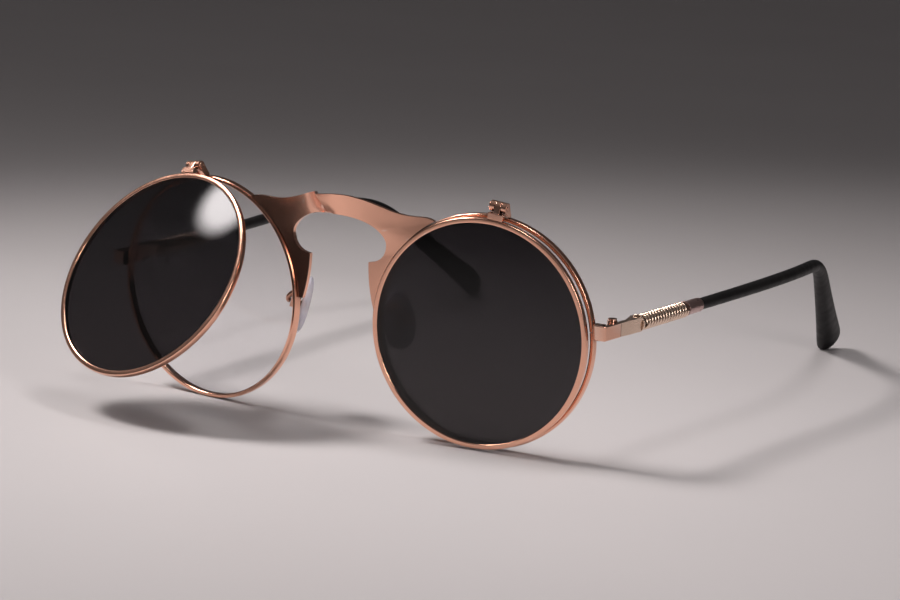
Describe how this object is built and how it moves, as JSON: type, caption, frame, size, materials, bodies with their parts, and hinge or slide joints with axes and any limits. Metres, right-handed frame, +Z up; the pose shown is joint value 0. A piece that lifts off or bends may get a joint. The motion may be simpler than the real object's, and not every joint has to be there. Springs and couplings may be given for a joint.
{
  "type": "flip-up sunglasses",
  "caption": "Round metal sunglasses: clear lenses in the rims, dark lenses in rings that flip up, keyhole bridge, arms with coil springs and black tips.",
  "frame": {"origin": "on the surface that the glasses stand on, under the middle of their bounding box", "axes": "+X is the wearer's left, -Y the front, +Z up"},
  "size_m": [0.1414, 0.1875, 0.0555],
  "materials": {
    "rose_gold": "polished rose gold plating",
    "champagne": "polished champagne gold plating",
    "mauve": "satin mauve pink plating",
    "steel": "bright steel",
    "clear_lens": "clear, polished",
    "dark_lens": "dark grey tint, polished",
    "clear_silicone": "clear, glossy",
    "black_plastic": "satin black"
  },
  "bodies": {
    "frame": {"bridge_plate": "rose_gold", "left_rim": "rose_gold", "left_clear_lens": "clear_lens", "left_lock_upper": "rose_gold", "left_lock_lower": "rose_gold", "left_lock_screw": "steel", "left_end_piece": "rose_gold", "left_temple_front_leaf": "rose_gold", "left_temple_screw": "rose_gold", "left_flip_base": "rose_gold", "left_flip_screw": "rose_gold", "left_pad_arm": "rose_gold", "left_pad_box": "rose_gold", "left_pad_screw": "steel", "right_rim": "rose_gold", "right_clear_lens": "clear_lens", "right_lock_upper": "rose_gold", "right_lock_lower": "rose_gold", "right_lock_screw": "steel", "right_end_piece": "rose_gold", "right_temple_front_leaf": "rose_gold", "right_temple_screw": "rose_gold", "right_flip_base": "rose_gold", "right_flip_screw": "rose_gold", "right_pad_arm": "rose_gold", "right_pad_box": "rose_gold", "right_pad_screw": "steel"},
    "left_flip": {"left_flip_ring": "rose_gold", "left_dark_lens": "dark_lens", "left_flip_tab": "rose_gold"},
    "left_temple": {"left_temple_rear_leaf": "rose_gold", "left_wedge_block": "champagne", "left_core_wire": "steel", "left_collar": "champagne", "left_spring": "champagne", "left_ferrule": "mauve", "left_tip_sleeve": "black_plastic"},
    "left_pad": {"left_pad_insert": "rose_gold", "left_nose_pad": "clear_silicone"},
    "right_flip": {"right_flip_ring": "rose_gold", "right_dark_lens": "dark_lens", "right_flip_tab": "rose_gold"},
    "right_temple": {"right_temple_rear_leaf": "rose_gold", "right_wedge_block": "champagne", "right_core_wire": "steel", "right_collar": "champagne", "right_spring": "champagne", "right_ferrule": "mauve", "right_tip_sleeve": "black_plastic"},
    "right_pad": {"right_pad_insert": "rose_gold", "right_nose_pad": "clear_silicone"}
  },
  "joints": [
    {"name": "left_flip_hinge", "type": "hinge", "parent": "frame", "child": "left_flip", "pos_m": [0.04034, -0.06158, 0.05405], "axis": [-0.9879, -0.0961, 0.1218], "range_deg": [0, 100]},
    {"name": "left_temple_hinge", "type": "hinge", "parent": "frame", "child": "left_temple", "pos_m": [0.0638, -0.05194, 0.02935], "axis": [-0.0003, -0.007, 1], "range_deg": [0, 88]},
    {"name": "left_pad_pivot", "type": "hinge", "parent": "frame", "child": "left_pad", "pos_m": [0.01444, -0.05701, 0.02513], "axis": [0.515, 0.8572, 0], "range_deg": [-8, 8]},
    {"name": "right_flip_hinge", "type": "hinge", "parent": "frame", "child": "right_flip", "pos_m": [-0.04034, -0.06158, 0.05405], "axis": [-0.9879, 0.0961, -0.1218], "range_deg": [-35.4, 64.6]},
    {"name": "right_temple_hinge", "type": "hinge", "parent": "frame", "child": "right_temple", "pos_m": [-0.0638, -0.05194, 0.02935], "axis": [-0.0003, 0.007, -1], "range_deg": [0, 70]},
    {"name": "right_pad_pivot", "type": "hinge", "parent": "frame", "child": "right_pad", "pos_m": [-0.01444, -0.05701, 0.02513], "axis": [0.515, -0.8572, 0], "range_deg": [-8, 8]}
  ]
}
